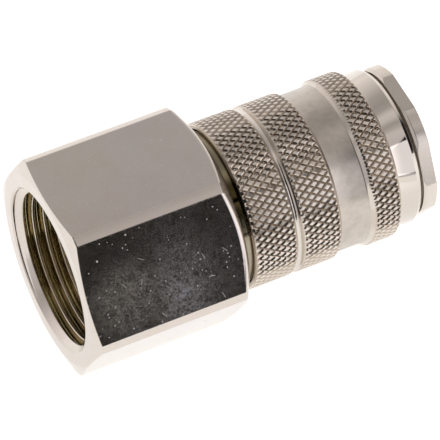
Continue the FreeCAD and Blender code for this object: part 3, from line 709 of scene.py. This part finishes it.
# Marks on the body's points: oil film and painted shade in the gap behind the flange, left off the front
# side, and a film near the flange
OIL_AND_SHADE_START = 52.0
OIL_AND_SHADE_LOW = 10.0
OIL_AND_SHADE_HIGH = 11.9
GAP_FILM_START = 57.3
FRONT_LIGHTER_SINE = 0.85
FRONT_LIGHTER_SINE_FADE = 0.1
along = body_rows[..., 0]
radius = body_rows[..., 1]
in_gap = (along > OIL_AND_SHADE_START) * (along < FLANGE_START + TOUCH)
in_gap = in_gap * (radius > OIL_AND_SHADE_LOW) * (radius < OIL_AND_SHADE_HIGH)
gap_soil = in_gap * (1 - np.clip((np.sin(body_angles) - FRONT_LIGHTER_SINE) / FRONT_LIGHTER_SINE_FADE, 0, 1))
body = turned_skin("ball_lock_body", body_rows, body_angles,
                   soil=gap_soil, film=in_gap * (along > GAP_FILM_START))
cutter = ball_hole_cutter("ball_holes")
holes = body.modifiers.new("ball_holes", "BOOLEAN")
holes.object = cutter
holes.operation = "DIFFERENCE"
holes.solver = "EXACT"
drilled = bpy.data.meshes.new_from_object(body.evaluated_get(bpy.context.evaluated_depsgraph_get()))
body.modifiers.clear()
body.data = drilled
bpy.data.objects.remove(cutter)
BODY_SHARP = math.radians(50)
drilled.set_sharp_from_angle(angle=BODY_SHARP)
turned, turned_surface, place = finish_of("nickel_plated_turned")
ring_wave = place.axis(0).noise(7000.0, 1.0)
cloud = place.noise(220.0, 3.0)
soil = place.mark("soil")
gap_film = place.mark("film")
rim = place.axis(0).rise(0.0280, 0.0282) * axis_radius(place).rise(0.0112, 0.0116)
scuff = place.noise(1100.0, 4.0, 0.7)
# Painted shade: the gap behind the flange is tinted a little towards the oil colour, except on the front side
attach(turned_surface, Base_Color=(soil * 0.12).mix(cloud.mix(NICKEL, NICKEL_WARM), OIL_AND_SHADE_TINT), Metallic=1.0,
       Roughness=0.09 + ring_wave * 0.06 + cloud * 0.05 + gap_film * 0.4 + rim * (0.05 + scuff * 0.11),
       Normal=bumped(rim * scuff, 0.3, 0.00003))
body.data.materials.append(turned)
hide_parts("coupling_body")
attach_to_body(body, "base")

# Locking balls: eight ground and lapped bearing balls. The sleeve holds them in the plug's groove, and
# they move out of it when the sleeve is drawn back.
BALL_STEEL = (0.66, 0.67, 0.68, 1.0)
BALL_SHADE = (0.56, 0.56, 0.56, 1.0)
lapped, lapped_surface, place = finish_of("lapped_bearing_steel")
oil_film = place.noise(1300.0, 3.0)
attach(lapped_surface, Base_Color=oil_film.rise(0.35, 0.70).mix(BALL_STEEL, BALL_SHADE), Metallic=1.0,
       Roughness=0.04 + oil_film * 0.08)
for number in range(BALL_COUNT):
    dress("locking_ball_%d" % (number + 1), lapped)

# Spring seat washer: stamped from steel strip and zinc plated. It lies on the neck's end, round the body,
# and carries the sleeve spring.
ZINC = (0.60, 0.61, 0.62, 1.0)
ZINC_DULL = (0.45, 0.45, 0.44, 1.0)
zinc, zinc_surface, place = finish_of("zinc_plated_steel")
spangle = place.noise(850.0, 3.0, 0.6)
attach(zinc_surface, Base_Color=spangle.rise(0.38, 0.66).mix(ZINC, ZINC_DULL), Metallic=1.0,
       Roughness=0.24 + spangle * 0.16)
dress("spring_seat_washer", zinc)

# Sleeve spring: drawn steel wire in six turns, between the washer and the sleeve's inner shoulder. It
# pushes the sleeve forward and shortens when the sleeve is drawn back.
SLEEVE_SPRING_START = 32.2
SLEEVE_SPRING_END = 48.5
SLEEVE_COIL = 11.43
SLEEVE_WIRE = 0.5
SLEEVE_TURNS = 6
sleeve_spring = wound_wire("sleeve_spring_wire", SLEEVE_SPRING_START, SLEEVE_SPRING_END,
                           SLEEVE_COIL, SLEEVE_WIRE, SLEEVE_TURNS)
sleeve_spring.data.materials.append(drawn)
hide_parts("sleeve_spring")
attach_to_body(sleeve_spring, "spring")
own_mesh(sleeve_spring)

# Locking sleeve: turned brass, nickel plated, with three diamond-knurled bands for the fingers, a round
# groove and a plain band between them, and a smooth front. It slides back to let the plug go.
KNURL = 13.6
KNURL_LINES = 71
KNURL_LENGTH = 1.88
KNURL_DEPTH = 0.215
KNURL_HALF_GROOVE = 0.25
KNURL_STEPS = 8
sleeve_angles = np.arange(KNURL_LINES * KNURL_STEPS) * FULL_TURN / (KNURL_LINES * KNURL_STEPS)


def knurl_groove(along, angle):
    """Share of the depth that is cut away by two sets of helical grooves, which cross at
    lines * turn + place / length and lines * turn - place / length."""
    lines = KNURL_LINES * angle / FULL_TURN
    share = np.zeros(np.broadcast(along, angle).shape)
    for lean in (1, -1):
        phase = lines + lean * along / KNURL_LENGTH
        off_line = np.abs(phase - np.round(phase))
        share = np.maximum(share, np.clip(1 - off_line / KNURL_HALF_GROOVE, 0, 1))
    return share


ROW_MARGIN = 0.2
KNURL_RUN_IN = 0.1
CAVITY_RAMP = 0.15


def band_rows(start, start_radius, crown_start, crown_end, end, end_radius):
    """Rows of a knurled band with sloping ends, as closely spaced as the knurl's own steps. The third
    number of a row is how deep in the knurl it lies."""
    step = KNURL_LENGTH / KNURL_STEPS
    along = np.arange(math.ceil(start / step + ROW_MARGIN), math.floor(end / step - ROW_MARGIN) + 1) * step
    along = np.unique(np.round(np.concatenate([[start, end], along]), 6))
    limit = np.interp(along, [start, crown_start, crown_end, end], [start_radius, KNURL, KNURL, end_radius])
    run_in_places = [crown_start, crown_start + KNURL_RUN_IN, crown_end - KNURL_RUN_IN, crown_end]
    run_in = np.interp(along, run_in_places, [0, 1, 1, 0])
    share = knurl_groove(along[:, None], sleeve_angles) * run_in[:, None]
    radius = np.minimum(limit[:, None], KNURL - KNURL_DEPTH * share)
    cavity = np.clip((KNURL - radius) / KNURL_DEPTH, 0, 1) * (limit[:, None] > KNURL - CAVITY_RAMP)
    return np.stack([np.broadcast_to(along[:, None], radius.shape), radius, cavity], -1)


def plain_rows(points):
    """Rows that are the same all the way round."""
    points = np.asarray(points, float)
    rows = np.zeros((len(points), len(sleeve_angles), 3))
    rows[..., :2] = points[:, None, :]
    return rows


def smooth_rows(corners, fillet, steps=3):
    """Rounded line as rows that are the same all the way round."""
    return plain_rows(rounded(corners, fillet, steps)[:, 0])


# Each knurled band: its start and radius there, its crown's start and end, its end and radius there
SKIRT_END = 28.75
REAR_BAND = (SKIRT_END, 13.3, 28.95, 35.6, 35.7, 13.5)
MIDDLE_BAND = (37.02, 13.5, 37.1, 43.15, 43.7, 12.95)
FRONT_BAND = (48.65, 13.02, 49.3, 53.5, 54.1, 12.67)
SKIRT = 12.58
SKIRT_BREAK = 0.3
SKIRT_RIM = 13.12
SKIRT_MIDDLE = 30.0
SKIRT_TOP = 32.0
GROOVE_PLACE = 36.36
GROOVE_HALF_WIDTH = 0.58
GROOVE_LEVEL = 13.45
GROOVE_DEPTH = 0.68
GROOVE_LIP = 13.47
GROOVE_LIP_REAR = 35.74
GROOVE_LIP_FRONT = 36.97
GROOVE_STEPS = 15
PLAIN = 12.93
PLAIN_START = 43.75
PLAIN_MIDDLE = 46.0
PLAIN_END = 48.45
PLAIN_FILLET = ((48.52, 12.94), (48.58, 12.97))
FRONT = 12.65
FRONT_START = 54.15
FRONT_END = 57.12
NOSE = 57.78
NOSE_OUTER = 12.25
NOSE_SEAM = (11.7, 11.65)
NOSE_INNER = 11.55
NOSE_BREAK_END = 57.48
SLEEVE_BORE = 11.25
CONE_START = 52.55
LAND = 10.35
LAND_START = 51.05
SPRING_ROOM = 12.08
SPRING_ROOM_START = 34.0
SKIRT_FILLET = 0.05
NOSE_FILLET = 0.07
groove_turn = np.linspace(math.pi, FULL_TURN, GROOVE_STEPS)[1:-1]
groove_along = GROOVE_PLACE + GROOVE_HALF_WIDTH * np.cos(groove_turn)
groove_radius = GROOVE_LEVEL + GROOVE_DEPTH * np.sin(groove_turn)
sleeve_rows = np.concatenate([
    smooth_rows([
        (SKIRT_MIDDLE, SKIRT),
        (SKIRT_END + SKIRT_BREAK, SKIRT),
        (SKIRT_END, SKIRT + SKIRT_BREAK),
        (SKIRT_END, SKIRT_RIM),
    ], SKIRT_FILLET),
    band_rows(*REAR_BAND),
    plain_rows([(GROOVE_LIP_REAR, GROOVE_LIP)]),
    plain_rows(np.stack([groove_along, groove_radius], -1)),
    plain_rows([(GROOVE_LIP_FRONT, GROOVE_LIP)]),
    band_rows(*MIDDLE_BAND),
    smooth_rows([(PLAIN_START, PLAIN), (PLAIN_MIDDLE, PLAIN), (PLAIN_END, PLAIN)], SKIRT_FILLET),
    plain_rows(PLAIN_FILLET),
    band_rows(*FRONT_BAND),
    smooth_rows([
        (FRONT_START, FRONT),
        (FRONT_END, FRONT),
        (NOSE, NOSE_OUTER),
        (NOSE, NOSE_SEAM[0]),
    ], NOSE_FILLET),
    smooth_rows([
        (NOSE, NOSE_SEAM[1]),
        (NOSE, NOSE_INNER),
        (NOSE_BREAK_END, SLEEVE_BORE),
        (CONE_START, SLEEVE_BORE),
        (LAND_START, LAND),
        (SLEEVE_SPRING_END, LAND),
        (SLEEVE_SPRING_END, SPRING_ROOM),
        (SPRING_ROOM_START, SPRING_ROOM),
        (SPRING_ROOM_START, SKIRT),
        (SKIRT_TOP, SKIRT),
    ], NOSE_FILLET, 1),
])
sleeve = turned_skin("knurled_sleeve", sleeve_rows[..., :2], sleeve_angles, True, cavity=sleeve_rows[..., 2])
KNURL_SHARP = math.radians(32)
sleeve.data.set_sharp_from_angle(angle=KNURL_SHARP)

KNURL_FILM = (0.43, 0.345, 0.26, 1.0)
KNURL_DIRT = (0.17, 0.12, 0.07, 1.0)
# Duller tone of the plain band, also painted shade on the underside of the smooth front
DULL_TONE_AND_SHADE = (0.54, 0.49, 0.43, 1.0)
DULL_DARK = (0.46, 0.415, 0.36, 1.0)
knurled, knurled_surface, place = finish_of("nickel_plated_sleeve")
cavity = place.mark("cavity")
dirt = cavity.rise(0.6, 1.0) * 0.6
film = cavity.rise(0.0, 0.55)
cloud = place.noise(260.0, 3.0)
grain = place.noise(2200.0, 2.0)
ring_wave = place.axis(0).noise(7000.0, 1.0)
plain_band = place.axis(0).between(0.01345, 0.0184, 0.0001)
smooth_front = place.axis(0).rise(0.0237, 0.0239)
sleeve_rough = 0.10 + plain_band * 0.15 + ring_wave * 0.06 + grain * 0.05
sleeve_rough = sleeve_rough * (1 - smooth_front * 0.6)
in_groove = place.axis(0).between(0.00552, 0.00670, 0.00005)
stain = place.noise(170.0, 3.0).rise(0.42, 0.68) * cavity.rise(-1.0, 0.6)
stain = stain * (1 - plain_band) * (1 - smooth_front) * (1 - in_groove)
film = film.math("MAXIMUM", film * 0.8, stain * 0.55)
sleeve_tint = film.mix((cloud * (0.7 - in_groove * 0.6)).mix(NICKEL, NICKEL_WARM), KNURL_FILM)
# Painted shade: the smooth front is duller towards its underside
painted_underside_shade = smooth_front * (1 - place.axis(2).rise(0.0180, 0.0222))
sleeve_tint = (painted_underside_shade * 0.55).mix(sleeve_tint, DULL_TONE_AND_SHADE)
plain_tint = place.noise(520.0, 5.0, 0.7).rise(0.35, 0.68).mix(DULL_TONE_AND_SHADE, DULL_DARK)
sleeve_tint = plain_band.mix(sleeve_tint, plain_tint)
attach(knurled_surface, Base_Color=(dirt * 0.9).mix(sleeve_tint, KNURL_DIRT),
       Metallic=1 - film * 0.12 - dirt * 0.7, Roughness=sleeve_rough + dirt * 0.3)
sleeve.data.materials.append(knurled)
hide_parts("locking_sleeve")
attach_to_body(sleeve, "sleeve")

# Studio: a pale round table that glows a little, a tent of cloth above and behind with lighter and darker
# strips, a dark room in front, and one upright light panel at the front and right.
TABLE_RADIUS = 0.34
TABLE_SIDES = 96
TABLE_GLOW = 0.8
TABLE_DROP = 0.0001
TABLE_GREY = (0.8, 0.8, 0.8, 1.0)
TABLE_ROUGHNESS = 0.9
WHITE = (1.0, 1.0, 1.0, 1.0)
table_turn = np.arange(TABLE_SIDES) * FULL_TURN / TABLE_SIDES
table_mesh = bpy.data.meshes.new("table")
table_rim = np.stack([TABLE_RADIUS * np.cos(table_turn), TABLE_RADIUS * np.sin(table_turn),
                      np.full(TABLE_SIDES, -TABLE_DROP)], -1)
table_mesh.from_pydata(table_rim, [], [list(range(TABLE_SIDES))])
table = bpy.data.objects.new("table", table_mesh)
bpy.context.scene.collection.objects.link(table)
pale, pale_surface, place = finish_of("pale_table")
attach(pale_surface, Base_Color=TABLE_GREY, Roughness=TABLE_ROUGHNESS, Emission_Color=WHITE,
       Emission_Strength=TABLE_GLOW)
table.data.materials.append(pale)

PANEL_PLACE = -0.1
PANEL_LEAN = math.radians(7.0)
PANEL_LEFT = 0.0255
PANEL_FOOT = 0.0262
PANEL_WIDTH = 0.13
PANEL_HEIGHT = 0.1074
PANEL_RADIANCE = 1.12
PANEL_COLOUR = (0.98, 0.965, 1.03)
light = bpy.data.lights.new("light_panel", "AREA")
light.shape = "RECTANGLE"
light.size = PANEL_WIDTH
light.size_y = PANEL_HEIGHT
light.energy = PANEL_RADIANCE * math.pi * PANEL_WIDTH * PANEL_HEIGHT
light.color = PANEL_COLOUR
panel = bpy.data.objects.new("light_panel", light)
panel_x = PANEL_LEFT + PANEL_WIDTH / 2 * math.cos(PANEL_LEAN) + PANEL_HEIGHT / 2 * math.sin(PANEL_LEAN)
panel_z = PANEL_FOOT - PANEL_WIDTH / 2 * math.sin(PANEL_LEAN) + PANEL_HEIGHT / 2 * math.cos(PANEL_LEAN)
panel.location = (panel_x, PANEL_PLACE, panel_z)
panel.rotation_euler = (math.pi / 2, PANEL_LEAN, 0.0)
bpy.context.scene.collection.objects.link(panel)

# The tent's light by direction: degrees from straight up towards the front, brightness, colour
DEGREE = math.pi / 180
HALF_CIRCLE = 180
TENT = (1.0, 0.955, 0.95)
LILAC = (1.0, 0.97, 1.02)
TENT_LIGHT = (
    (-180, 0.62, TENT), (-96, 1.0, TENT), (-82, 1.1, TENT), (-70, 0.95, TENT), (-55, 0.76, TENT),
    (-38, 0.525, TENT), (-22, 0.44, TENT), (-12, 0.50, TENT), (-3, 0.80, TENT), (5, 0.74, TENT),
    (13, 0.46, TENT), (20, 0.58, TENT), (26, 0.78, TENT), (45, 0.7, LILAC), (90, 0.7, LILAC),
    (180, 0.55, TENT),
)
ROOM = (0.018, 0.017, 0.016, 1.0)
ROOM_SLANT = 42.0
ROOM_PIVOT = 0.29
ROOM_FLOOR_SLANT = 6
world = bpy.data.worlds.new("studio")
bpy.context.scene.world = world
world.use_nodes = True
sky_tree = world.node_tree
sky = sky_tree.nodes["Background"]
look = Shade(sky_tree, sky_tree.nodes.new("ShaderNodeTexCoord").outputs["Generated"])
front = look.axis(1) * -1
lean = front.math("ARCTAN2", front, look.axis(2)) / DEGREE
tent_stops = [((angle + HALF_CIRCLE) / (2 * HALF_CIRCLE), tuple(strength * share for share in colour))
              for angle, strength, colour in TENT_LIGHT]
tent = ((lean + HALF_CIRCLE) / (2 * HALF_CIRCLE)).ramp(tent_stops)
to_right = look.axis(0)
room = (lean + (ROOM_PIVOT - to_right) * ROOM_SLANT).rise(33, 36)
room = room * (1 - (lean + to_right * ROOM_FLOOR_SLANT).rise(91.5, 94.5))
room = room * (1 - to_right.rise(0.5, 0.75)) * to_right.rise(-0.75, -0.55)
doorway = to_right.rise(0.945, 0.98)
studio = room.math("MAXIMUM", room, doorway).mix(tent, ROOM)
seen = look.node("ShaderNodeLightPath", None, None, "Is Camera Ray")
sky_tree.links.new(seen.mix(studio, WHITE).socket, sky.inputs["Color"])
bpy.context.scene.view_settings.view_transform = "Standard"

# Camera: a long lens far from the coupling, above it and to the left of the thread's end, moved a little
# in its own plane so that the coupling fills the frame as it does in the photograph.
AZIMUTH = -26.31 * DEGREE
ELEVATION = 49.0 * DEGREE
DISTANCE = 0.725
PIXELS_PER_METRE = 6500.0
FRAME_PIXELS = 440
PIXELS_RIGHT = 4.4
PIXELS_UP = 15.32
TARGET = -0.00025
NEAREST = 0.01
SENSOR = 36.0
towards = Vector((math.sin(AZIMUTH) * math.cos(ELEVATION), -math.cos(AZIMUTH) * math.cos(ELEVATION),
                  math.sin(ELEVATION)))
right = Vector((0, 0, 1)).cross(towards).normalized()
up = towards.cross(right)
target = Vector((TARGET, 0.0, AXIS_HEIGHT * MILLIMETRE))
lens = bpy.data.cameras.new("camera")
lens.sensor_width = SENSOR
lens.lens = SENSOR * DISTANCE * PIXELS_PER_METRE / FRAME_PIXELS
lens.clip_start = NEAREST
camera = bpy.data.objects.new("camera", lens)
moved_right = right * (PIXELS_RIGHT / PIXELS_PER_METRE)
moved_up = up * (PIXELS_UP / PIXELS_PER_METRE)
camera.location = target + towards * DISTANCE - moved_right - moved_up
camera.rotation_euler = (-towards).to_track_quat("-Z", "Y").to_euler()
bpy.context.scene.collection.objects.link(camera)
bpy.context.scene.camera = camera
